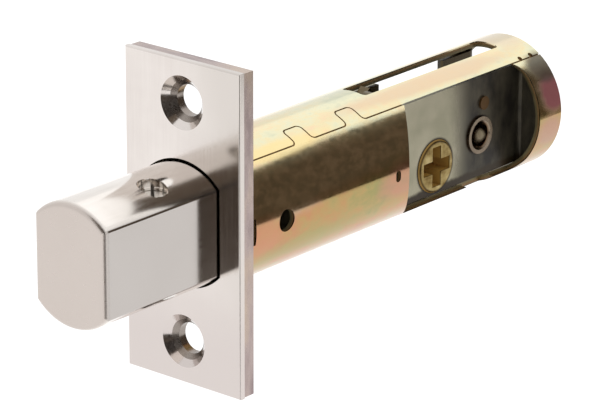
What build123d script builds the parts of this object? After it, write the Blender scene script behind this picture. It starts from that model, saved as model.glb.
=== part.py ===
from build123d import *
from math import cos, hypot, radians, sin, sqrt
import os

# Keyed deadlatch for a bored door: a tubular deadbolt with a square-cornered faceplate.
# Millimetres. The origin is the middle of the faceplate's screw pattern, on the back of the
# backing plate, which seats in the door's mortise. +Y runs into the door along the barrel,
# -Y is the way the bolt is thrown, and +Z is up along the faceplate.
# The backset is measured from the front of the faceplate to the hub's axis. What lies near the
# hub is placed ahead of it, towards the plate, or behind it.

# Faceplate and backing plate
PLATE_WIDTH = 25.4
PLATE_HEIGHT = 57.15
FACE_THICKNESS = 1.1
FACE_EDGE_RADIUS = 0.3
BACKING_THICKNESS = 2.45
BACKING_INSET = 0.15
SCREW_SPACING = 42.2
SCREW_HOLE_RADIUS = 2.75
COUNTERSINK_RADIUS = 4.7
DRILL_OVERSHOOT = 1.0

# Bolt and its hardened roller
BOLT_BORE_GAP = 0.38
BOLT_HALF_WIDTH = 7.9
BOLT_PROJECTION = 27.4
BOLT_THROW = 25.4
NOSE_RADIUS = 1.1
BOLT_EDGE_RADIUS = 0.5
BOLT_CLEARANCE = 0.35
ROLLER_RADIUS = 2.5
ROLLER_CLEARANCE = 0.1
ROLLER_OFFSET = 3.6
ROLLER_SETBACK = 11.3
ROLLER_RECESS = 1.5
ROLLER_LIP_THICKNESS = 0.35
ROLLER_LIP_WIDTH = 0.25

# Barrel
BARREL_RADIUS = 12.34
BARREL_WALL = 1.04
BARREL_BEHIND_HUB = 29.1
TAB_HALF_WIDTH = 5.0
TAB_CLEARANCE = 0.05
FRONT_NOTCH_LENGTH = 1.05
FRONT_NOTCH_HEIGHT = 4.6
SIDE_HOLE_DEPTH = 12.4
SIDE_HOLE_RADIUS = 1.95
STAKE_HOLE_HEIGHT = 2.1
STAKE_HOLE_WIDTH = 1.3
WINDOW_SCREW_MARGIN = 0.05
WINDOW_BEHIND_HUB = 22.7
WINDOW_HALF_HEIGHT = 10.2
WINDOW_FRONT_RADIUS = 13.0
WINDOW_FRONT_CORNER_RADIUS = 1.2
WINDOW_REAR_CORNER_RADIUS = 2.7
LOWER_RELIEF_FRONT_BEHIND_HUB = 8.35
LOWER_RELIEF_REAR_BEHIND_HUB = 16.3
LOWER_STRIP_HALF_WIDTH = 3.5
TOP_SLOT_FRONT_MARGIN = 0.9
TOP_SLOT_BEHIND_HUB = 22.6
TOP_SLOT_SIDE_GAP = 0.3
TOP_SLOT_CORNER_RADIUS = 0.8

# Lock seam, where the edges of the barrel's rolled sheet meet, with two interlocking tabs
SEAM_DEGREES = 55.0
SEAM_WIDTH = 0.3
SEAM_DEPTH = 0.3
SEAM_CORNER_RADIUS = 0.9
SEAM_TAB_HEIGHT = 3.6
SEAM_TAB_WIDTH = 4.3
SEAM_FRONT_TAB_DEPTH = 20.9
SEAM_REAR_TAB_DEPTH = 34.5

# Stakes, struck in the barrel ahead of the case's rear flanges and behind them
STAKE_RADIUS = 0.5
STAKE_DEPTH = 0.4
STAKE_DEGREES = 57.0
STAKE_MARGIN = 0.4

# Case, two plates inside the barrel, each with a flange at both ends
CASE_HALF_WIDTH = 6.1
CASE_WALL = 1.3
CASE_BEND_RADIUS = 1.4
CASE_FIT = 0.1
CASE_AHEAD_OF_HUB = 18.8
CASE_BEHIND_HUB = 25.9
CASE_RELIEF_AHEAD_OF_HUB = 2.6
CASE_RELIEF_BEHIND_HUB = 15.9
CASE_RELIEF_HEIGHT = 5.0
BOLT_STOP_GAP = 0.7

# Hub, crank and the bar that they drive
BACKSET = 60.3
HUB_BEARING_RADIUS = 4.85
HUB_CLEARANCE = 0.05
HUB_EDGE_WALL = 0.29
HUB_SHOULDER_STEP = 0.55
HUB_END_GAP = 0.1
HUB_PROUD = 0.4
HUB_EDGE_CHAMFER = 0.35
HUB_BOSS_WALL = 0.8
HUB_BOSS_FLAT_DEPTH = 0.5
HUB_SOCKET_DEPTH = 1.4
TAILPIECE_SLOT_LENGTH = 7.4
TAILPIECE_SLOT_WIDTH = 2.4
CRANK_SWING_DEGREES = 90.0
CRANK_THICKNESS = 2.0
CRANK_EYE_WALL = 1.9
CRANK_TIP_MARGIN = 0.7
CRANK_PRONG_WIDTH = 1.5
CRANK_SIDE_GAP = 0.3
CRANK_BORE_GAP = 0.3
FORK_LOST_MOTION = 0.051
FORK_CLEARANCE = 0.12
FORK_FLOOR_SPACE = 0.5
BAR_THICKNESS = 2.2
BAR_HEIGHT = 6.8
BAR_UNDER_GAP = 0.3
BAR_BOLT_OVERLAP = 11.0
BAR_TAIL_LENGTH = 4.7
BAR_HEAD_WALL = 0.95
BAR_POCKET_CLEARANCE = 0.05
STUD_RADIUS = 1.25
STUD_RISE = 1.07
BAR_PIN_RADIUS = 1.4
BAR_PIN_INSET = 0.15
BAR_PIN_CLEARANCE = 0.02

# Eyelets that the lock's two through-screws pass
EYELET_PITCH = 25.4
EYELET_ABOVE_HUB = 2.7
EYELET_BORE_RADIUS = 2.4
EYELET_WALL = 0.6
EYELET_FLANGE_RADIUS = 3.45
EYELET_FLANGE_THICKNESS = 0.45
EYELET_MOUTH_CHAMFER = 0.35
EYELET_FIT = 0.03

# Leaf spring that steadies the bar, and its rivet
SPRING_THICKNESS = 0.4
SPRING_HEIGHT = 3.4
SPRING_ABOVE_BAR_FOOT = 0.8
SPRING_BAR_GAP = 0.3
SPRING_BEND_RADIUS = 6.0
SPRING_BELLY_AHEAD_OF_HUB = 9.8
SPRING_TIP_AHEAD_OF_HUB = 14.8
SPRING_TIP_LIFT = 1.2
SPRING_SEAT_LENGTH = 2.4
SPRING_RIVET_BEHIND_HUB = 13.8
SPRING_RIVET_RADIUS = 0.75
SPRING_RIVET_HEAD_RADIUS = 1.25
SPRING_RIVET_HEAD_THICKNESS = 0.4
SPRING_RIVET_FIT = 0.02

# Places that follow from the dimensions above
FACE_FRONT = -(FACE_THICKNESS + BACKING_THICKNESS)
BACKING_FRONT = -BACKING_THICKNESS
HUB_Y = FACE_FRONT + BACKSET
BARREL_BORE = BARREL_RADIUS - BARREL_WALL
BARREL_REAR = HUB_Y + BARREL_BEHIND_HUB
BOLT_RADIUS = BARREL_BORE - BOLT_BORE_GAP
BOLT_NOSE = FACE_FRONT - BOLT_PROJECTION

CASE_FRONT = HUB_Y - CASE_AHEAD_OF_HUB
CASE_REAR = HUB_Y + CASE_BEHIND_HUB
CASE_HALF_HEIGHT = sqrt((BARREL_BORE - CASE_FIT) ** 2 - CASE_HALF_WIDTH ** 2)
CASE_INNER_HALF_WIDTH = CASE_HALF_WIDTH - CASE_WALL
BOLT_REAR = CASE_FRONT - BOLT_STOP_GAP - BOLT_THROW

CRANK_RIGHT = -CRANK_SIDE_GAP / 2
CRANK_LEFT = CRANK_RIGHT - CRANK_THICKNESS
HUB_BOSS_RADIUS = TAILPIECE_SLOT_LENGTH / 2 + HUB_BOSS_WALL
CRANK_EYE_RADIUS = HUB_BOSS_RADIUS + CRANK_EYE_WALL
HUB_Z_IN_CASE = HUB_BEARING_RADIUS + HUB_CLEARANCE + HUB_EDGE_WALL - CASE_HALF_HEIGHT
HUB_Z_IN_BARREL = CRANK_EYE_RADIUS + CRANK_BORE_GAP - sqrt(BARREL_BORE ** 2 - CRANK_LEFT ** 2)
HUB_Z = max(HUB_Z_IN_CASE, HUB_Z_IN_BARREL)
HUB_END = CASE_HALF_WIDTH + HUB_PROUD
HUB_SHOULDER_END = CASE_INNER_HALF_WIDTH - HUB_END_GAP
HUB_SHOULDER_RADIUS = HUB_BEARING_RADIUS + HUB_SHOULDER_STEP
HUB_BOSS_HALF_FLAT = HUB_BOSS_RADIUS - HUB_BOSS_FLAT_DEPTH
EYELET_RADIUS = EYELET_BORE_RADIUS + EYELET_WALL
EYELET_Z = HUB_Z + EYELET_ABOVE_HUB

STUD_HEIGHT_ABOVE_HUB = STUD_RISE * BOLT_THROW / 2
STUD_Y = HUB_Y - BOLT_THROW / 2
STUD_Z = HUB_Z + STUD_HEIGHT_ABOVE_HUB
CRANK_TIP_RADIUS = hypot(BOLT_THROW / 2, STUD_HEIGHT_ABOVE_HUB) + CRANK_TIP_MARGIN
FORK_HALF_WIDTH = STUD_RADIUS + FORK_LOST_MOTION * BOLT_THROW / 2 + FORK_CLEARANCE

BAR_LEFT = CRANK_SIDE_GAP / 2
BAR_RIGHT = BAR_LEFT + BAR_THICKNESS
BAR_FRONT = BOLT_REAR - BAR_BOLT_OVERLAP
BAR_REAR = STUD_Y + BAR_TAIL_LENGTH
BAR_BOTTOM = max(HUB_Z + HUB_SHOULDER_RADIUS, EYELET_Z + EYELET_RADIUS) + BAR_UNDER_GAP
BAR_TOP = BAR_BOTTOM + BAR_HEIGHT
BAR_MIDDLE_HEIGHT = (BAR_BOTTOM + BAR_TOP) / 2
BAR_HEAD_RADIUS = STUD_RADIUS + BAR_HEAD_WALL

TOP_SLOT_HALF_WIDTH = BAR_RIGHT + TOP_SLOT_SIDE_GAP
TOP_SLOT_FRONT = STUD_Y - BAR_HEAD_RADIUS - TOP_SLOT_FRONT_MARGIN
WINDOW_FRONT = HUB_Y - EYELET_PITCH / 2 - EYELET_BORE_RADIUS - WINDOW_SCREW_MARGIN
SPRING_BOTTOM = BAR_BOTTOM + SPRING_ABOVE_BAR_FOOT
SPRING_TOP = SPRING_BOTTOM + SPRING_HEIGHT
SPRING_RIVET_Y = HUB_Y + SPRING_RIVET_BEHIND_HUB
SPRING_RIVET_Z = (SPRING_BOTTOM + SPRING_TOP) / 2


def along(outline, y_from, y_to):
    """Run an outline, drawn as X and Z, along the barrel from one Y to another."""
    return Pos(0, y_to, 0) * extrude(Plane.XZ * outline, y_to - y_from)


def across(outline, x_from, x_to):
    """Run an outline, drawn as Y and Z, across the barrel from one X to another."""
    return Pos(x_from, 0, 0) * extrude(Plane.YZ * outline, x_to - x_from)


def upward(outline, z_from, z_to):
    """Run an outline, drawn as X and Y, up from one Z to another."""
    return Pos(0, 0, z_from) * extrude(outline, z_to - z_from)


def span(a_from, a_to, b_from, b_to):
    """Rectangle between two values on each of its axes."""
    middle = Pos((a_from + a_to) / 2, (b_from + b_to) / 2)
    return middle * Rectangle(a_to - a_from, b_to - b_from)


def bolt_outline(grow=0.0):
    """Round bolt section with two upright flats, grown by a clearance."""
    radius = BOLT_RADIUS + grow
    return Circle(radius) & Rectangle(2 * (BOLT_HALF_WIDTH + grow), 2 * radius)


def barrel_tab_outline(grow=0.0):
    """Two arcs of the barrel wall, above and below the bolt, that pass the backing plate."""
    radius = BARREL_RADIUS + grow
    ring = Circle(radius) - Circle(BARREL_BORE - grow)
    return ring & Rectangle(2 * (TAB_HALF_WIDTH + grow), 2 * radius)


def screw_hole(z):
    """Countersunk screw hole through both plates."""
    sink_depth = COUNTERSINK_RADIUS - SCREW_HOLE_RADIUS
    cone = Cone(COUNTERSINK_RADIUS, SCREW_HOLE_RADIUS, sink_depth)
    sink = Pos(0, FACE_FRONT + sink_depth / 2, z) * Rot(X=-90) * cone
    return sink + along(Pos(0, z) * Circle(SCREW_HOLE_RADIUS), FACE_FRONT, DRILL_OVERSHOOT)


def cut_screw_holes(plate):
    for z in (SCREW_SPACING / 2, -SCREW_SPACING / 2):
        plate -= screw_hole(z)
    return plate


def make_faceplate():
    plate = along(Rectangle(PLATE_WIDTH, PLATE_HEIGHT), FACE_FRONT, BACKING_FRONT)
    front = plate.faces().sort_by(Axis.Y)[0]
    plate = fillet(front.edges(), FACE_EDGE_RADIUS)
    plate -= along(bolt_outline(BOLT_CLEARANCE), FACE_FRONT, BACKING_FRONT)
    return cut_screw_holes(plate)


def make_backing_plate():
    outline = Rectangle(PLATE_WIDTH - 2 * BACKING_INSET, PLATE_HEIGHT - 2 * BACKING_INSET)
    outline -= bolt_outline(BOLT_CLEARANCE)
    outline -= barrel_tab_outline(TAB_CLEARANCE)
    return cut_screw_holes(along(outline, BACKING_FRONT, 0))


def window_outline():
    """Side window of the barrel: a bowed front end and a straight rear end."""
    rear = HUB_Y + WINDOW_BEHIND_HUB
    centre = WINDOW_FRONT + WINDOW_FRONT_RADIUS
    middle = (WINDOW_FRONT + rear) / 2
    window = span(middle, rear, -WINDOW_HALF_HEIGHT, WINDOW_HALF_HEIGHT)
    window = fillet(window.vertices().group_by(Axis.X)[-1], WINDOW_REAR_CORNER_RADIUS)
    bow = Pos(centre, 0) * Circle(WINDOW_FRONT_RADIUS)
    bow &= span(WINDOW_FRONT, middle, -WINDOW_HALF_HEIGHT, WINDOW_HALF_HEIGHT)
    bow = fillet(bow.vertices().group_by(Axis.X)[0], WINDOW_FRONT_CORNER_RADIUS)
    return window + bow


def cut_barrel_sides(barrel):
    """Windows, holes and front notches, alike on both sides of the barrel."""
    reach = BARREL_RADIUS + 1
    side_hole = Pos(FACE_FRONT + SIDE_HOLE_DEPTH, 0) * Circle(SIDE_HOLE_RADIUS)
    stake_hole = Pos(CASE_FRONT + CASE_WALL / 2, 0)
    stake_hole *= SlotOverall(STAKE_HOLE_HEIGHT, STAKE_HOLE_WIDTH, rotation=90)
    notch = span(0, FRONT_NOTCH_LENGTH, -FRONT_NOTCH_HEIGHT / 2, FRONT_NOTCH_HEIGHT / 2)
    for outline in (window_outline(), side_hole, stake_hole, notch):
        barrel -= across(outline, BOLT_HALF_WIDTH - 2, reach)
        barrel -= across(outline, -reach, 2 - BOLT_HALF_WIDTH)
    return barrel


def seam_path():
    """Line of the seam from the barrel's front to its window, as Y and the way round."""
    front_tab = FACE_FRONT + SEAM_FRONT_TAB_DEPTH
    rear_tab = FACE_FRONT + SEAM_REAR_TAB_DEPTH
    points = [(0, 0)]
    for tab in (front_tab, rear_tab):
        points += [(tab, 0), (tab, SEAM_TAB_HEIGHT)]
        points += [(tab + SEAM_TAB_WIDTH, SEAM_TAB_HEIGHT), (tab + SEAM_TAB_WIDTH, 0)]
    points.append((WINDOW_FRONT + WINDOW_FRONT_RADIUS, 0))
    return FilletPolyline(*points, radius=SEAM_CORNER_RADIUS)


def cut_seam(barrel):
    """Groove of an even depth along the seam, and on from the window to the rear."""
    angle = radians(SEAM_DEGREES)
    outward = (cos(angle), 0, sin(angle))
    seam_plane = Plane(origin=(0, 0, 0), x_dir=(0, 1, 0), z_dir=outward)
    rear_line = span(HUB_Y, BARREL_REAR, -SEAM_WIDTH / 2, SEAM_WIDTH / 2)
    lines = trace(seam_path(), SEAM_WIDTH) + rear_line
    groove = extrude(seam_plane * lines, BARREL_RADIUS + 1)
    skin = Circle(BARREL_RADIUS + 1) - Circle(BARREL_RADIUS - SEAM_DEPTH)
    return barrel - (groove & along(skin, 0, BARREL_REAR))


def cut_stakes(barrel):
    """Struck marks on both sides of the case's rear flanges."""
    reach = STAKE_MARGIN + STAKE_RADIUS
    places = (CASE_REAR - CASE_WALL - reach, CASE_REAR + reach)
    for turn in (STAKE_DEGREES - 90, 90 - STAKE_DEGREES):
        for y in places:
            mark = Pos(0, y) * Circle(STAKE_RADIUS)
            stake = upward(mark, BARREL_RADIUS - STAKE_DEPTH, BARREL_RADIUS + 1)
            barrel -= Rot(Y=-turn) * stake
    return barrel


def make_barrel():
    wall = Circle(BARREL_RADIUS) - Circle(BARREL_BORE)
    barrel = along(wall, 0, BARREL_REAR) + along(barrel_tab_outline(), BACKING_FRONT, 0)
    barrel = cut_barrel_sides(barrel)
    slot_rear = HUB_Y + TOP_SLOT_BEHIND_HUB
    slot = span(-TOP_SLOT_HALF_WIDTH, TOP_SLOT_HALF_WIDTH, TOP_SLOT_FRONT, slot_rear)
    slot = fillet(slot.vertices(), TOP_SLOT_CORNER_RADIUS)
    barrel -= upward(slot, 0, BARREL_RADIUS)
    relief_front = HUB_Y + LOWER_RELIEF_FRONT_BEHIND_HUB
    relief_rear = HUB_Y + LOWER_RELIEF_REAR_BEHIND_HUB
    for side in (1, -1):
        strip = sorted((side * LOWER_STRIP_HALF_WIDTH, side * BARREL_RADIUS))
        relief = span(strip[0], strip[1], relief_front, relief_rear)
        barrel -= upward(relief, -BARREL_RADIUS, 0)
    return cut_stakes(cut_seam(barrel))


def make_case_plate(side):
    """Plate with a flange turned out to the barrel at both ends, on the side of that sign."""
    middle = CASE_HALF_WIDTH - CASE_WALL / 2
    front = CASE_FRONT + CASE_WALL / 2
    rear = CASE_REAR - CASE_WALL / 2
    corners = [(BARREL_RADIUS, front), (middle, front), (middle, rear), (BARREL_RADIUS, rear)]
    path = FilletPolyline(*[(side * x, y) for x, y in corners], radius=CASE_BEND_RADIUS)
    plate = upward(trace(path, CASE_WALL), -CASE_HALF_HEIGHT, CASE_HALF_HEIGHT)
    plate &= along(Circle(BARREL_BORE - CASE_FIT), CASE_FRONT, CASE_REAR)
    holes = hub_outline(HUB_BEARING_RADIUS + HUB_CLEARANCE)
    for y in eyelet_places():
        holes += Pos(y, EYELET_Z) * Circle(EYELET_RADIUS + EYELET_FIT)
    return plate - across(holes, -CASE_HALF_WIDTH, CASE_HALF_WIDTH)


def make_case_right():
    rivet_hole = across(spring_rivet_shank(SPRING_RIVET_FIT), 0, CASE_HALF_WIDTH)
    return make_case_plate(1) - rivet_hole


def make_case_left():
    """Left plate, with its upper edge cut away beside the crank's sweep."""
    relief_front = HUB_Y - CASE_RELIEF_AHEAD_OF_HUB
    relief_rear = HUB_Y + CASE_RELIEF_BEHIND_HUB
    relief = span(relief_front, relief_rear, CASE_RELIEF_HEIGHT, CASE_HALF_HEIGHT + 1)
    return make_case_plate(-1) - across(relief, -CASE_HALF_WIDTH, 0)


def eyelet_places():
    return (HUB_Y - EYELET_PITCH / 2, HUB_Y + EYELET_PITCH / 2)


def make_eyelet(y):
    """Tube through the case with a flange on each side."""
    place = Pos(y, EYELET_Z)
    end = CASE_HALF_WIDTH + EYELET_FLANGE_THICKNESS
    eyelet = across(place * Circle(EYELET_RADIUS), -end, end)
    eyelet += across(place * Circle(EYELET_FLANGE_RADIUS), CASE_HALF_WIDTH, end)
    eyelet += across(place * Circle(EYELET_FLANGE_RADIUS), -end, -CASE_HALF_WIDTH)
    eyelet -= across(place * Circle(EYELET_BORE_RADIUS), -end, end)
    ends = eyelet.faces().filter_by(Axis.X).group_by(Axis.X)
    mouths = [min(face.edges(), key=lambda edge: edge.length) for face in (ends[0][0], ends[-1][0])]
    return chamfer(mouths, EYELET_MOUTH_CHAMFER)


def make_bolt():
    bolt = along(bolt_outline(), BOLT_NOSE, BOLT_REAR)
    bolt = fillet(bolt.edges().filter_by(Axis.Y), BOLT_EDGE_RADIUS)
    nose = bolt.faces().sort_by(Axis.Y)[0]
    bolt = fillet(nose.edges(), NOSE_RADIUS)
    grow = BAR_POCKET_CLEARANCE
    pocket = span(BAR_LEFT - grow, BAR_RIGHT + grow, BAR_BOTTOM - grow, BAR_TOP + grow)
    bolt -= along(pocket, BAR_FRONT - grow, BOLT_REAR)
    bolt -= across(bar_pin_outline(BAR_PIN_CLEARANCE), -BOLT_HALF_WIDTH, BOLT_HALF_WIDTH)
    return bolt - roller_bore()


def roller_top():
    """Height of the roller's upper end, below the round top of the bolt."""
    return sqrt(BOLT_RADIUS ** 2 - ROLLER_OFFSET ** 2) - ROLLER_RECESS


def roller_place():
    return Pos(ROLLER_OFFSET, FACE_FRONT - ROLLER_SETBACK)


def roller_bore():
    """Bore for the roller, open at the top behind a peened lip and blind below."""
    radius = ROLLER_RADIUS + ROLLER_CLEARANCE
    top = roller_top() + ROLLER_CLEARANCE
    bottom = -roller_top() - ROLLER_CLEARANCE
    bore = upward(roller_place() * Circle(radius), bottom, top)
    lip = upward(roller_place() * Circle(radius - ROLLER_LIP_WIDTH), top, BOLT_RADIUS)
    mouth_floor = top + ROLLER_LIP_THICKNESS
    return bore + lip + upward(roller_place() * Circle(radius), mouth_floor, BOLT_RADIUS)


def make_hardened_roller():
    return upward(roller_place() * Circle(ROLLER_RADIUS), -roller_top(), roller_top())


def bar_pin_outline(grow=0.0):
    middle = (BAR_FRONT + BOLT_REAR) / 2
    return Pos(middle, BAR_MIDDLE_HEIGHT) * Circle(BAR_PIN_RADIUS + grow)


def make_bar_pin():
    end = BOLT_HALF_WIDTH - BAR_PIN_INSET
    return across(bar_pin_outline(), -end, end)


def make_bolt_bar():
    """Flat bar from the bolt to the crank, with a raised round head for the stud."""
    outline = span(BAR_FRONT, BAR_REAR, BAR_BOTTOM, BAR_TOP)
    neck_front = STUD_Y - BAR_HEAD_RADIUS
    neck_rear = STUD_Y + BAR_HEAD_RADIUS
    outline += span(neck_front, neck_rear, BAR_MIDDLE_HEIGHT, STUD_Z)
    outline += Pos(STUD_Y, STUD_Z) * Circle(BAR_HEAD_RADIUS)
    outline -= bar_pin_outline(BAR_PIN_CLEARANCE)
    outline -= Pos(STUD_Y, STUD_Z) * Circle(STUD_RADIUS + BAR_PIN_CLEARANCE)
    return across(outline, BAR_LEFT, BAR_RIGHT)


def make_bar_stud():
    stud = Pos(STUD_Y, STUD_Z) * Circle(STUD_RADIUS)
    return across(stud, CRANK_LEFT, BAR_RIGHT)


def hub_outline(radius):
    return Pos(HUB_Y, HUB_Z) * Circle(radius)


def boss_outline(grow=0.0):
    """Round boss with two flats that turns the crank, set across the crank's arm."""
    boss = Circle(HUB_BOSS_RADIUS + grow)
    boss &= Rectangle(2 * (HUB_BOSS_RADIUS + grow), 2 * (HUB_BOSS_HALF_FLAT + grow))
    return Pos(HUB_Y, HUB_Z) * Rot(Z=CRANK_SWING_DEGREES / 2) * boss


def tailpiece_outline():
    """Plus-shaped slot that takes a flat tailpiece upright or level."""
    cross = Rectangle(TAILPIECE_SLOT_LENGTH, TAILPIECE_SLOT_WIDTH)
    cross += Rectangle(TAILPIECE_SLOT_WIDTH, TAILPIECE_SLOT_LENGTH)
    return Pos(HUB_Y, HUB_Z) * cross


def make_hub_left():
    """Left half of the hub, with the boss that passes through the crank."""
    boss_end = CRANK_RIGHT + HUB_SOCKET_DEPTH
    journal = across(hub_outline(HUB_BEARING_RADIUS), -HUB_END, -HUB_SHOULDER_END)
    hub = chamfer(journal.edges().sort_by(Axis.X)[0], HUB_EDGE_CHAMFER)
    hub += across(hub_outline(HUB_SHOULDER_RADIUS), -HUB_SHOULDER_END, CRANK_LEFT)
    hub += across(boss_outline(), CRANK_LEFT, boss_end)
    return hub - across(tailpiece_outline(), -HUB_END, boss_end)


def make_hub_right():
    """Right half of the hub, with the socket that the boss enters."""
    journal = across(hub_outline(HUB_BEARING_RADIUS), HUB_SHOULDER_END, HUB_END)
    hub = chamfer(journal.edges().sort_by(Axis.X)[-1], HUB_EDGE_CHAMFER)
    hub += across(hub_outline(HUB_SHOULDER_RADIUS), CRANK_RIGHT, HUB_SHOULDER_END)
    socket_end = CRANK_RIGHT + HUB_SOCKET_DEPTH + HUB_CLEARANCE
    hub -= across(boss_outline(HUB_CLEARANCE), CRANK_RIGHT, socket_end)
    return hub - across(tailpiece_outline(), CRANK_RIGHT, HUB_END)


def crank_outline():
    """Eye and forked arm, drawn pointing up and then leant to the thrown position."""
    arm_half = FORK_HALF_WIDTH + CRANK_PRONG_WIDTH
    floor = STUD_HEIGHT_ABOVE_HUB - STUD_RADIUS - FORK_FLOOR_SPACE + FORK_HALF_WIDTH
    arm = span(-arm_half, arm_half, 0, CRANK_TIP_RADIUS) & Circle(CRANK_TIP_RADIUS)
    fork_slot = span(-FORK_HALF_WIDTH, FORK_HALF_WIDTH, floor, CRANK_TIP_RADIUS)
    fork_slot += Pos(0, floor) * Circle(FORK_HALF_WIDTH)
    crank = Circle(CRANK_EYE_RADIUS) + arm - fork_slot
    lean = Rot(Z=CRANK_SWING_DEGREES / 2)
    return Pos(HUB_Y, HUB_Z) * lean * crank - boss_outline(HUB_CLEARANCE)


def make_crank_arm():
    return across(crank_outline(), CRANK_LEFT, CRANK_RIGHT)


def make_drag_spring():
    """Bowed leaf riveted inside the right of the case, with its belly beside the bar."""
    seat = CASE_INNER_HALF_WIDTH - SPRING_THICKNESS / 2
    belly = BAR_RIGHT + SPRING_BAR_GAP + SPRING_THICKNESS / 2
    points = [
        (seat, SPRING_RIVET_Y + SPRING_SEAT_LENGTH),
        (seat, SPRING_RIVET_Y - SPRING_SEAT_LENGTH),
        (belly, HUB_Y - SPRING_BELLY_AHEAD_OF_HUB),
        (belly + SPRING_TIP_LIFT, HUB_Y - SPRING_TIP_AHEAD_OF_HUB),
    ]
    leaf = trace(FilletPolyline(*points, radius=SPRING_BEND_RADIUS), SPRING_THICKNESS)
    spring = upward(leaf, SPRING_BOTTOM, SPRING_TOP)
    return spring - across(spring_rivet_shank(SPRING_RIVET_FIT), 0, CASE_HALF_WIDTH)


def spring_rivet_shank(grow=0.0):
    place = Pos(SPRING_RIVET_Y, SPRING_RIVET_Z)
    return place * Circle(SPRING_RIVET_RADIUS + grow)


def make_spring_rivet():
    inner = CASE_INNER_HALF_WIDTH - SPRING_THICKNESS
    head = Pos(SPRING_RIVET_Y, SPRING_RIVET_Z) * Circle(SPRING_RIVET_HEAD_RADIUS)
    rivet = across(spring_rivet_shank(), inner, CASE_HALF_WIDTH)
    rivet += across(head, CASE_HALF_WIDTH, CASE_HALF_WIDTH + SPRING_RIVET_HEAD_THICKNESS)
    return rivet + across(head, inner - SPRING_RIVET_HEAD_THICKNESS, inner)


def make_all():
    front_eyelet_y, rear_eyelet_y = eyelet_places()
    return {
        "faceplate": make_faceplate(),
        "backing_plate": make_backing_plate(),
        "barrel": make_barrel(),
        "case_right": make_case_right(),
        "case_left": make_case_left(),
        "front_eyelet": make_eyelet(front_eyelet_y),
        "rear_eyelet": make_eyelet(rear_eyelet_y),
        "drag_spring": make_drag_spring(),
        "spring_rivet": make_spring_rivet(),
        "bolt": make_bolt(),
        "bolt_bar": make_bolt_bar(),
        "bar_pin": make_bar_pin(),
        "bar_stud": make_bar_stud(),
        "hardened_roller": make_hardened_roller(),
        "hub_left": make_hub_left(),
        "hub_right": make_hub_right(),
        "crank_arm": make_crank_arm(),
    }


os.makedirs("parts", exist_ok=True)
for name, part in make_all().items():
    export_step(part, f"parts/{name}.step")
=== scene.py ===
import math

import bpy
from mathutils import Matrix, Vector

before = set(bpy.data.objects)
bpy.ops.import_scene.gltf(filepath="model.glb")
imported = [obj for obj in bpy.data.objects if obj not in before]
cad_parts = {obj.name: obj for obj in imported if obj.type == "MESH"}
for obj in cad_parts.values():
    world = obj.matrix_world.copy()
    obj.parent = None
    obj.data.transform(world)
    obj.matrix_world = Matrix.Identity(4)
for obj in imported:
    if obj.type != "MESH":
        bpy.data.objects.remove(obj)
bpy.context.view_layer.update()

# The camera that was fitted to the photograph, in the frame of the CAD model
IMAGE_WIDTH = 600
FOCAL_LENGTH_PX = 3728.31
SENSOR_WIDTH_MM = 36.0
CAMERA_PLACE = Vector((0.392275, -0.438227, 0.210700))
CAMERA_AZIMUTH = math.radians(40.15)
CAMERA_ELEVATION = math.radians(19.46)
CAMERA_ROLL = math.radians(0.18)

# The room: a white floor well below the latch, a softbox above and behind, dark cards
FLOOR_HEIGHT = -0.16
FLOOR_HALF = 6.0
FLOOR_GLOW = 0.50
WORLD_LEVEL_SEEN = 1.0
WORLD_LEVEL_LIT = 0.75
SOFTBOX_PLACE = Vector((-0.10, 0.38, 0.44))
SOFTBOX_AIM = Vector((0, 0.03, 0))
SOFTBOX_SIZE = 0.56
SOFTBOX_POWER = 0.22
CARD_RADIUS = 0.33
CARD_STEPS = 24
BROWN_GLOW = (0.130, 0.103, 0.080, 1.0)
BLACK_GLOW = (0.040, 0.034, 0.030, 1.0)
BROWN_CARDS = [
    # Name, degrees round from +X, degrees up
    ("card_behind", (15, 76), (-12, 40.5)),
    ("card_front_low", (-62, -45), (-24, -2)),
    ("card_front_high", (-98, -68), (22, 62)),
]
BLACK_CARDS = [
    ("card_side_low", (-45, -24), (-28, -2)),
    ("card_side_middle", (-62, -36), (-2, 22)),
    ("card_side_high", (-68, -35), (22, 62)),
]

# Where each finish, painted shade, painted reflection or painted highlight changes, in millimetres
# on the object: where it starts, where it is full
FACEPLATE_SHADE_RIGHT = (2.0, 15.0)
FACEPLATE_FOOT = (-4.0, -22.0)
BOLT_FLATS = (7.5, 7.85)
BOLT_END = (-30.0, -30.8)
BOLT_END_DULL = (-29.6, -30.2)
BOLT_BARREL_SHADE = (-1.0, 3.0)
BARREL_GROOVE = (12.18, 12.02)
BARREL_INSIDE = (11.95, 11.60)
BARREL_MIDDLE = (0.0, 4.5)
BARREL_LIT_TOP = (7.0, 9.5)
PLATE_SIDES = (12.2, 12.45)
PLATE_ENDS = (28.05, 28.3)
PLATE_SCREW_RING = (4.4, 4.0)
CASE_BEHIND = (60.0, 67.5)
CASE_FOOT = (-7.7, -8.5)
CASE_INSIDE = (5.6, 5.2)
CASE_HUB_RING = (5.5, 4.9)
CASE_EYELET_RING = (3.95, 3.45)
HUB_RIM = (4.15, 4.7)
HUB_SLOT = (6.42, 6.2)
EYELET_BORE = (6.5, 6.1)
EYELET_SPOT = (1.5, 0.5)

# Centres on the object, in millimetres: height of the screws, Y and Z of hub and eyelets,
# depth and Z of the eyelets' painted highlight
SCREW_PLACE = 21.1
HUB_PLACE = (56.75, -4.203)
EYELET_PLACES = ((44.05, -1.503), (69.45, -1.503))
EYELET_SPOT_PLACE = (4.7, -2.4)

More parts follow.
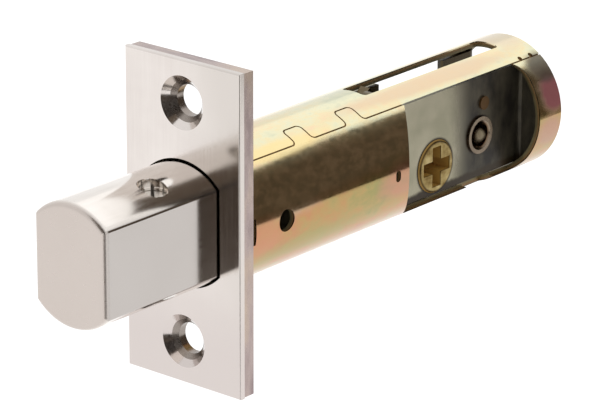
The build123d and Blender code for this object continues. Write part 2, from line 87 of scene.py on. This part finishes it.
BLOTCH_EDGE = (1.25, 0.55)
ZINC_BLOTCHES = [
    # Y in mm, degrees round from the right side, half-lengths of both, colour, strength, dullness
    (55.0, 68.0, 24.0, 9.0, (220, 194, 162), 0.85, 0.0),
    (14.0, 56.0, 13.0, 9.0, (238, 214, 154), 0.80, 0.0),
    (42.0, -4.0, 7.0, 16.0, (188, 130, 120), 0.55, 0.0),
    (3.0, -8.0, 6.0, 18.0, (196, 138, 110), 0.60, 0.0),
    (15.0, -27.0, 13.0, 11.0, (160, 152, 98), 0.55, 0.0),
    (84.0, 17.0, 3.6, 15.0, (150, 82, 88), 0.95, 0.9),
    (84.0, 45.0, 3.4, 13.0, (84, 72, 64), 0.80, 0.5),
    (83.0, -14.0, 4.0, 16.0, (186, 148, 128), 0.80, 0.2),
    # Painted shade: this dark patch stands for the shaded underside towards the rear.
    (70.0, -66.0, 14.0, 24.0, (84, 74, 58), 0.85, 0.4),
    (83.0, 96.0, 5.0, 26.0, (218, 202, 174), 0.85, 0.0),
]


def srgb(red, green, blue):
    """Linear colour of an 8-bit screen colour."""
    def linear(value):
        value /= 255
        if value <= 0.04045:
            return value / 12.92
        return ((value + 0.055) / 1.055) ** 2.4
    return (linear(red), linear(green), linear(blue), 1.0)


# Camera, floor, world and lights


def add_camera():
    """Camera with the photograph's place, direction, roll and lens."""
    back = Vector((
        math.sin(CAMERA_AZIMUTH) * math.cos(CAMERA_ELEVATION),
        -math.cos(CAMERA_AZIMUTH) * math.cos(CAMERA_ELEVATION),
        math.sin(CAMERA_ELEVATION),
    ))
    level = Vector((0, 0, 1)).cross(back).normalized()
    upright = back.cross(level)
    right = math.cos(CAMERA_ROLL) * level + math.sin(CAMERA_ROLL) * upright
    up = math.cos(CAMERA_ROLL) * upright - math.sin(CAMERA_ROLL) * level
    turn = Matrix((right, up, back)).transposed().to_4x4()
    data = bpy.data.cameras.new("camera")
    data.sensor_width = SENSOR_WIDTH_MM
    data.lens = FOCAL_LENGTH_PX / IMAGE_WIDTH * SENSOR_WIDTH_MM
    camera = bpy.data.objects.new("camera", data)
    camera.matrix_world = Matrix.Translation(CAMERA_PLACE) @ turn
    bpy.context.scene.collection.objects.link(camera)
    bpy.context.scene.camera = camera


def seen_directly(tree):
    """Socket that is 1 for camera, glossy and transmission rays, and 0 for diffuse ones."""
    path = tree.nodes.new("ShaderNodeLightPath")
    first = tree.nodes.new("ShaderNodeMath")
    first.operation = "MAXIMUM"
    second = tree.nodes.new("ShaderNodeMath")
    second.operation = "MAXIMUM"
    tree.links.new(path.outputs["Is Camera Ray"], first.inputs[0])
    tree.links.new(path.outputs["Is Glossy Ray"], first.inputs[1])
    tree.links.new(first.outputs[0], second.inputs[0])
    tree.links.new(path.outputs["Is Transmission Ray"], second.inputs[1])
    return second.outputs[0]


def add_world():
    world = bpy.data.worlds.new("studio")
    world.use_nodes = True
    tree = world.node_tree
    background = tree.nodes["Background"]
    background.inputs["Color"].default_value = (1, 1, 1, 1)
    strength = tree.nodes.new("ShaderNodeMapRange")
    strength.inputs["To Min"].default_value = WORLD_LEVEL_LIT
    strength.inputs["To Max"].default_value = WORLD_LEVEL_SEEN
    tree.links.new(seen_directly(tree), strength.inputs["Value"])
    tree.links.new(strength.outputs["Result"], background.inputs["Strength"])
    bpy.context.scene.world = world


def mesh_object(name, vertices, faces):
    mesh = bpy.data.meshes.new(name)
    mesh.from_pydata(vertices, [], faces)
    mesh.update()
    made = bpy.data.objects.new(name, mesh)
    bpy.context.scene.collection.objects.link(made)
    return made


def add_floor():
    """White floor that clips to white where it is lit and keeps the shadow."""
    half, height = FLOOR_HALF, FLOOR_HEIGHT
    corners = [
        (-half, -half, height),
        (half, -half, height),
        (half, half, height),
        (-half, half, height),
    ]
    floor = mesh_object("floor", corners, [(0, 1, 2, 3)])
    material = bpy.data.materials.new("white_floor")
    material.use_nodes = True
    tree = material.node_tree
    shader = tree.nodes["Principled BSDF"]
    shader.inputs["Base Color"].default_value = (0.86, 0.86, 0.86, 1)
    shader.inputs["Roughness"].default_value = 0.9
    shader.inputs["Specular IOR Level"].default_value = 0.1
    shader.inputs["Emission Color"].default_value = (1, 1, 1, 1)
    glow = tree.nodes.new("ShaderNodeMath")
    glow.operation = "MULTIPLY"
    glow.inputs[1].default_value = FLOOR_GLOW
    tree.links.new(seen_directly(tree), glow.inputs[0])
    tree.links.new(glow.outputs[0], shader.inputs["Emission Strength"])
    floor.data.materials.append(material)


def card_material(name, glow):
    material = bpy.data.materials.new(name)
    material.use_nodes = True
    shader = material.node_tree.nodes["Principled BSDF"]
    shader.inputs["Base Color"].default_value = (0, 0, 0, 1)
    shader.inputs["Specular IOR Level"].default_value = 0.0
    shader.inputs["Emission Color"].default_value = glow
    shader.inputs["Emission Strength"].default_value = 1.0
    return material


def add_card(name, material, azimuths, elevations):
    """Dark curved card round the latch, in degrees from it, seen only in its reflections."""
    low, high = (CARD_RADIUS * math.tan(math.radians(angle)) for angle in elevations)
    vertices = []
    for i in range(CARD_STEPS + 1):
        angle = math.radians(azimuths[0] + (azimuths[1] - azimuths[0]) * i / CARD_STEPS)
        x, y = CARD_RADIUS * math.cos(angle), CARD_RADIUS * math.sin(angle)
        vertices += [(x, y, low), (x, y, high)]
    faces = [(2 * i, 2 * i + 2, 2 * i + 3, 2 * i + 1) for i in range(CARD_STEPS)]
    card = mesh_object(name, vertices, faces)
    card.data.materials.append(material)
    card.visible_camera = False
    card.visible_diffuse = False
    card.visible_shadow = False


def add_cards():
    brown = card_material("brown_card", BROWN_GLOW)
    for name, azimuths, elevations in BROWN_CARDS:
        add_card(name, brown, azimuths, elevations)
    black = card_material("black_card", BLACK_GLOW)
    for name, azimuths, elevations in BLACK_CARDS:
        add_card(name, black, azimuths, elevations)


def add_area_light(name, place, aim, size, power):
    data = bpy.data.lights.new(name, "AREA")
    data.shape = "SQUARE"
    data.size = size
    data.energy = power
    light = bpy.data.objects.new(name, data)
    light.location = place
    light.rotation_euler = (aim - place).to_track_quat("-Z", "Y").to_euler()
    light.visible_camera = False
    bpy.context.scene.collection.objects.link(light)


def add_lights():
    add_area_light("softbox", SOFTBOX_PLACE, SOFTBOX_AIM, SOFTBOX_SIZE, SOFTBOX_POWER)


# Materials


class Finish:
    """One procedural material, with short calls for the nodes that it needs."""

    def __init__(self, name, metallic=1.0):
        self.material = bpy.data.materials.new(name)
        self.material.use_nodes = True
        self.tree = self.material.node_tree
        self.shader = self.tree.nodes["Principled BSDF"]
        self.shader.inputs["Metallic"].default_value = metallic
        self.place = self.node("ShaderNodeTexCoord").outputs["Object"]

    def node(self, kind):
        return self.tree.nodes.new(kind)

    def put(self, value, socket):
        """Link a socket, or set a plain value."""
        if hasattr(value, "is_output"):
            self.tree.links.new(value, socket)
        else:
            socket.default_value = value

    def math(self, operation, first, second=0.0):
        step = self.node("ShaderNodeMath")
        step.operation = operation
        self.put(first, step.inputs[0])
        self.put(second, step.inputs[1])
        return step.outputs[0]

    def stretched(self, scale):
        """Place on the object, scaled apart along X, Y and Z, per metre."""
        mapping = self.node("ShaderNodeMapping")
        self.put(self.place, mapping.inputs["Vector"])
        mapping.inputs["Scale"].default_value = scale
        return mapping.outputs["Vector"]

    def noise(self, scale, detail=3.0, roughness=0.5, seed=0.0):
        texture = self.node("ShaderNodeTexNoise")
        texture.noise_dimensions = "4D"
        self.put(self.stretched(scale), texture.inputs["Vector"])
        texture.inputs["W"].default_value = seed
        texture.inputs["Scale"].default_value = 1.0
        texture.inputs["Detail"].default_value = detail
        texture.inputs["Roughness"].default_value = roughness
        return texture.outputs["Fac"]

    def ranged(self, value, low, high, to_low=0.0, to_high=1.0):
        step = self.node("ShaderNodeMapRange")
        self.put(value, step.inputs["Value"])
        step.inputs["From Min"].default_value = low
        step.inputs["From Max"].default_value = high
        step.inputs["To Min"].default_value = to_low
        step.inputs["To Max"].default_value = to_high
        return step.outputs["Result"]

    def spread(self, noise, low, high):
        """Low to high over the middle of a noise, where nearly all of its values lie."""
        return self.ranged(noise, 0.3, 0.7, low, high)

    def smooth(self, value, low, high):
        """0 at low and 1 at high, with soft ends. Low may be the greater of the two."""
        step = self.node("ShaderNodeMapRange")
        step.interpolation_type = "SMOOTHSTEP"
        self.put(value, step.inputs["Value"])
        step.inputs["From Min"].default_value = low
        step.inputs["From Max"].default_value = high
        return step.outputs["Result"]

    def axes(self):
        """X, Y and Z on the object, in millimetres."""
        split = self.node("ShaderNodeSeparateXYZ")
        self.put(self.stretched((1000, 1000, 1000)), split.inputs[0])
        return split.outputs[0], split.outputs[1], split.outputs[2]

    def distance(self, first, second, centre=(0.0, 0.0)):
        """Distance from a centre, in the plane of two axes."""
        one = self.math("SUBTRACT", first, centre[0])
        two = self.math("SUBTRACT", second, centre[1])
        total = self.math("ADD", self.math("MULTIPLY", one, one), self.math("MULTIPLY", two, two))
        return self.math("SQRT", total)

    def colours(self, value, stops):
        ramp = self.node("ShaderNodeValToRGB")
        self.put(value, ramp.inputs["Fac"])
        elements = ramp.color_ramp.elements
        while len(elements) < len(stops):
            elements.new(0.5)
        for element, (place, colour) in zip(elements, stops):
            element.position = place
            element.color = colour
        return ramp.outputs["Color"]

    def mixed(self, share, first, second, blend="MIX"):
        mix = self.node("ShaderNodeMix")
        mix.data_type = "RGBA"
        mix.blend_type = blend
        self.put(share, mix.inputs["Factor"])
        self.put(first, mix.inputs[6])
        self.put(second, mix.inputs[7])
        return mix.outputs[2]

    def bump(self, height, strength, distance):
        step = self.node("ShaderNodeBump")
        self.put(height, step.inputs["Height"])
        step.inputs["Strength"].default_value = strength
        step.inputs["Distance"].default_value = distance
        self.put(step.outputs["Normal"], self.shader.inputs["Normal"])

    def metal(self, value):
        self.put(value, self.shader.inputs["Metallic"])

    def either(self, share, first, second):
        """Number that runs from the first to the second with the share."""
        mix = self.node("ShaderNodeMix")
        self.put(share, mix.inputs[0])
        self.put(first, mix.inputs[2])
        self.put(second, mix.inputs[3])
        return mix.outputs[0]

    def base(self, colour):
        self.put(colour, self.shader.inputs["Base Color"])

    def rough(self, value):
        self.put(value, self.shader.inputs["Roughness"])


def brushed_nickel(name, brush_scale, dark, light):
    """Satin nickel: warm pale metal with fine brush lines and faint cloudiness."""
    finish = Finish(name)
    lines = finish.noise(brush_scale, detail=2.0)
    cloud = finish.noise((90, 90, 90), detail=3.0, seed=3.0)
    tone = finish.math("ADD", finish.spread(lines, -0.07, 0.07), cloud)
    finish.bump(lines, 0.06, 0.00001)
    return finish, finish.colours(tone, [(0.30, dark), (0.70, light)]), lines


def faceplate_nickel():
    """Plate's nickel, a little darker towards its upper right, which is painted shade."""
    finish, colour, lines = brushed_nickel(
        "faceplate_nickel", (2600, 2600, 60), srgb(216, 208, 203), srgb(228, 221, 216))
    x, _, z = finish.axes()
    # Painted shade: the nickel turns darker towards the upper right of the plate.
    slant = finish.math("ADD", x, finish.math("MULTIPLY", z, 0.2))
    colour = finish.mixed(finish.smooth(slant, *FACEPLATE_SHADE_RIGHT), colour, srgb(210, 203, 197))
    foot = finish.smooth(z, *FACEPLATE_FOOT)
    finish.base(finish.mixed(foot, colour, srgb(208, 199, 195)))
    finish.rough(finish.spread(lines, 0.12, 0.18))
    return finish.material


def bolt_nickel():
    """Bolt's nickel: bright on the rounds; greyer on the flats and end, and dark on the part
    inside the barrel, both painted shade.
    """
    finish, colour, lines = brushed_nickel(
        "bolt_nickel", (900, 60, 1800), srgb(224, 217, 210), srgb(240, 234, 228))
    x, y, _ = finish.axes()
    # Painted shade: a greyer copy of the same nickel on the flats and on the end.
    side = finish.smooth(finish.math("ABSOLUTE", x), *BOLT_FLATS)
    colour = finish.mixed(finish.math("MULTIPLY", side, 0.85), colour, srgb(178, 172, 168))
    end = finish.smooth(y, *BOLT_END)
    colour = finish.mixed(finish.math("MULTIPLY", end, 0.85), colour, srgb(196, 185, 178))
    # Painted shade: dark where the bolt stays inside the barrel.
    barrel_shade = finish.smooth(y, *BOLT_BARREL_SHADE)
    finish.base(finish.mixed(barrel_shade, colour, srgb(70, 62, 54)))
    nose = finish.smooth(y, *BOLT_END_DULL)
    rough = finish.spread(lines, 0.11, 0.17)
    finish.rough(finish.math("ADD", rough, finish.math("MULTIPLY", nose, 0.16)))
    return finish.material


def yellow_zinc():
    """Yellow chromate on zinc: gold below with green, peach and rose patches; paler and cream
    towards the top as painted light, with painted shade on its cut edges, inside and on one patch
    underneath.
    """
    finish = Finish("yellow_zinc")
    x, y, z = finish.axes()
    patches = finish.noise((110, 46, 110), detail=4.0, roughness=0.62, seed=1.7)
    drift = finish.noise((44, 22, 44), detail=2.0, seed=5.2)
    specks = finish.noise((620, 420, 620), detail=3.0, roughness=0.6, seed=9.4)
    patches_share = finish.math("MULTIPLY", patches, 0.6)
    value = finish.math("ADD", patches_share, finish.math("MULTIPLY", drift, 0.4))
    value = finish.math("ADD", value, finish.spread(specks, -0.06, 0.06))
    painted_light_top = finish.colours(value, [
        (0.36, srgb(204, 206, 178)),
        (0.44, srgb(222, 218, 184)),
        (0.50, srgb(228, 214, 172)),
        (0.56, srgb(232, 206, 170)),
        (0.64, srgb(220, 194, 176)),
    ])
    lower = finish.colours(value, [
        (0.36, srgb(152, 146, 96)),
        (0.44, srgb(172, 150, 100)),
        (0.50, srgb(180, 146, 98)),
        (0.56, srgb(186, 138, 98)),
        (0.64, srgb(180, 134, 118)),
    ])
    middle = finish.colours(specks, [
        (0.38, srgb(178, 164, 132)),
        (0.50, srgb(194, 176, 142)),
        (0.62, srgb(208, 188, 154)),
    ])
    # Painted light: the barrel turns paler with height, greyer in a middle band and cream at the
    # top.
    border = finish.math("ADD", z, finish.spread(drift, -1.0, 1.0))
    wave = finish.math("ADD", z, finish.spread(patches, -2.0, 2.0))
    colour = finish.mixed(finish.smooth(wave, *BARREL_MIDDLE), lower, middle)
    colour = finish.mixed(finish.smooth(border, *BARREL_LIT_TOP), colour, painted_light_top)
    turn = finish.math("MULTIPLY", finish.math("ARCTAN2", z, x), 180 / math.pi)
    dull = 0.0
    for place, degrees, length, height, tint, strength, dullness in ZINC_BLOTCHES:
        along = finish.math("DIVIDE", finish.math("SUBTRACT", y, place), length)
        around = finish.math("DIVIDE", finish.math("SUBTRACT", turn, degrees), height)
        reach = finish.distance(along, around)
        reach = finish.math("ADD", reach, finish.spread(patches, -0.35, 0.35))
        share = finish.smooth(reach, *BLOTCH_EDGE)
        colour = finish.mixed(finish.math("MULTIPLY", share, strength), colour, srgb(*tint))
        if dullness:
            dull = finish.math("MAXIMUM", dull, finish.math("MULTIPLY", share, dullness))
    # Painted shade: brown, dull cut edges and seam groove of the sheet.
    radius = finish.distance(x, z)
    groove = finish.smooth(radius, *BARREL_GROOVE)
    colour = finish.mixed(groove, colour, srgb(144, 112, 70))
    # Painted shade: the inner wall of the barrel is given a dark brown tone.
    inside_shade = finish.colours(patches, [(0.40, srgb(96, 86, 58)), (0.60, srgb(132, 120, 86))])
    inside = finish.smooth(radius, *BARREL_INSIDE)
    finish.base(finish.mixed(inside, colour, inside_shade))
    rough = finish.spread(specks, 0.10, 0.18)
    dull = finish.math("MAXIMUM", dull, finish.math("MULTIPLY", groove, 0.8))
    finish.rough(finish.either(dull, rough, 0.6))
    finish.metal(finish.either(dull, 1.0, 0.35))
    finish.bump(specks, 0.10, 0.00002)
    return finish.material


def plate_zinc():
    """Zinc of the backing plate: yellow on its face, washed out to a pinkish grey on its edges."""
    finish = Finish("plate_zinc")
    x, _, z = finish.axes()
    patches = finish.noise((120, 300, 60), detail=3.0, seed=2.6)
    edge = finish.colours(patches, [
        (0.38, srgb(150, 134, 134)),
        (0.50, srgb(176, 160, 156)),
        (0.62, srgb(190, 172, 158)),
    ])
    face = finish.colours(patches, [
        (0.38, srgb(170, 166, 120)),
        (0.50, srgb(196, 180, 130)),
        (0.62, srgb(200, 166, 134)),
    ])
    side = finish.smooth(finish.math("ABSOLUTE", x), *PLATE_SIDES)
    end = finish.smooth(finish.math("ABSOLUTE", z), *PLATE_ENDS)
    colour = finish.mixed(finish.math("MAXIMUM", side, end), face, edge)
    hole = finish.distance(x, finish.math("ABSOLUTE", z), (0.0, SCREW_PLACE))
    ring = finish.smooth(hole, *PLATE_SCREW_RING)
    finish.base(finish.mixed(ring, colour, srgb(150, 141, 134)))
    grain = finish.noise((500, 900, 500), detail=2.0, seed=8.0)
    finish.rough(finish.spread(grain, 0.22, 0.32))
    finish.bump(grain, 0.08, 0.00001)
    return finish.material


def plain_steel(name, dark, light, roughness, metallic=1.0):
    """Rolled steel strip: slightly cloudy, with a fine grain."""
    finish = Finish(name, metallic)
    cloud = finish.noise((160, 160, 160), detail=4.0, seed=2.0)
    grain = finish.noise((1400, 1400, 1400), detail=2.0, seed=4.0)
    finish.rough(finish.spread(grain, roughness - 0.04, roughness + 0.05))
    finish.bump(grain, 0.06, 0.00001)
    return finish, finish.colours(cloud, [(0.35, dark), (0.65, light)])


def simple_steel(name, dark, light, roughness, metallic=1.0):
    finish, colour = plain_steel(name, dark, light, roughness, metallic)
    finish.base(colour)
    return finish.material


def case_steel():
    """Case's steel: plain ahead, dark behind as a painted reflection, darker along its foot, with
    painted shade inside and round what it carries.
    """
    finish, colour = plain_steel("case_steel", srgb(138, 134, 114), srgb(158, 152, 132), 0.20)
    x, y, z = finish.axes()
    cloud = finish.noise((240, 240, 120), detail=4.0, roughness=0.6, seed=6.0)
    wave = finish.spread(cloud, -1.0, 1.0)
    # Painted dark reflection: the rear of the case plates turns dark.
    rear_dark_reflection = finish.colours(cloud, [(0.36, srgb(44, 40, 35)), (0.64, srgb(88, 82, 68))])
    behind = finish.smooth(finish.math("ADD", y, wave), *CASE_BEHIND)
    colour = finish.mixed(behind, colour, rear_dark_reflection)
    low_wave = finish.math("MULTIPLY", wave, 0.3)
    foot = finish.smooth(finish.math("ADD", z, low_wave), *CASE_FOOT)
    colour = finish.mixed(foot, colour, srgb(56, 46, 32))
    # Painted shade: dark rings in the gaps round the hub and the eyelets.
    for place, edge in (
        (HUB_PLACE, CASE_HUB_RING),
        (EYELET_PLACES[0], CASE_EYELET_RING),
        (EYELET_PLACES[1], CASE_EYELET_RING),
    ):
        ring = finish.distance(y, z, place)
        colour = finish.mixed(finish.smooth(ring, *edge), colour, srgb(40, 30, 20))
    # Painted shade: the inner faces of the plates are a dark olive.
    inside = finish.smooth(finish.math("ABSOLUTE", x), *CASE_INSIDE)
    finish.base(finish.mixed(inside, colour, srgb(80, 66, 34)))
    dull = finish.math("MAXIMUM", finish.math("MAXIMUM", behind, foot), inside)
    finish.metal(finish.either(dull, 1.0, 0.55))
    finish.rough(finish.either(dull, 0.20, 0.38))
    return finish.material


def hub_brass():
    """Hub's brass: patchy on its face, dark at its rim as painted shade, and brown in its slot."""
    finish = Finish("hub_brass")
    cloud = finish.noise((420, 420, 420), detail=4.0, roughness=0.6, seed=2.0)
    colour = finish.colours(cloud, [
        (0.36, srgb(112, 90, 46)),
        (0.50, srgb(152, 132, 84)),
        (0.64, srgb(178, 160, 112)),
    ])
    x, y, z = finish.axes()
    # Painted shade: a dark ring at the hub's rim.
    ring = finish.distance(y, z, HUB_PLACE)
    colour = finish.mixed(finish.smooth(ring, *HUB_RIM), colour, srgb(58, 42, 22))
    inside = finish.smooth(finish.math("ABSOLUTE", x), *HUB_SLOT)
    finish.base(finish.mixed(inside, colour, srgb(176, 138, 66)))
    finish.metal(finish.either(inside, 1.0, 0.15))
    finish.rough(finish.either(inside, 0.28, 0.55))
    finish.bump(cloud, 0.10, 0.00003)
    return finish.material


def eyelet_steel():
    """Eyelets: brownish flange, a bore darkened with painted shade, and a painted highlight in the
    bore.
    """
    finish, colour = plain_steel("eyelet_steel", srgb(116, 102, 88), srgb(142, 128, 110), 0.26)
    x, _, z = finish.axes()
    depth = finish.math("ABSOLUTE", x)
    # Painted shade: the bore is dark.
    colour = finish.mixed(finish.smooth(depth, *EYELET_BORE), colour, srgb(92, 64, 40))
    # Painted highlight: a bright cream spot in the bore.
    spot = finish.smooth(finish.distance(depth, z, EYELET_SPOT_PLACE), *EYELET_SPOT)
    finish.base(finish.mixed(spot, colour, srgb(250, 232, 196)))
    finish.metal(finish.either(spot, 1.0, 0.1))
    return finish.material


def dress(names, material):
    """Give CAD nodes their finish, in the material slots that they already have."""
    for name in names:
        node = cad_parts[name]
        if not node.material_slots:
            node.data.materials.append(material)
        for slot in node.material_slots:
            slot.material = material


def dress_all():
    dress(["faceplate"], faceplate_nickel())
    dress(["bolt"], bolt_nickel())
    dress(["barrel"], yellow_zinc())
    dress(["backing_plate"], plate_zinc())
    dress(["case_right", "case_left"], case_steel())
    inner = simple_steel("inner_steel", srgb(84, 74, 56), srgb(120, 108, 86), 0.30)
    dress(["bolt_bar", "crank_arm"], inner)
    dress(["front_eyelet", "rear_eyelet"], eyelet_steel())
    spring = simple_steel("spring_steel", srgb(120, 116, 108), srgb(150, 146, 138), 0.25)
    dress(["drag_spring", "bar_stud", "bar_pin"], spring)
    copper = simple_steel("rivet_copper", srgb(84, 60, 34), srgb(112, 84, 50), 0.42, 0.7)
    dress(["spring_rivet"], copper)
    hardened = simple_steel("hardened_steel", srgb(196, 192, 188), srgb(220, 216, 210), 0.15)
    dress(["hardened_roller"], hardened)
    dress(["hub_left", "hub_right"], hub_brass())


add_camera()
add_world()
add_floor()
add_cards()
add_lights()
dress_all()
bpy.context.scene.view_settings.view_transform = "Standard"
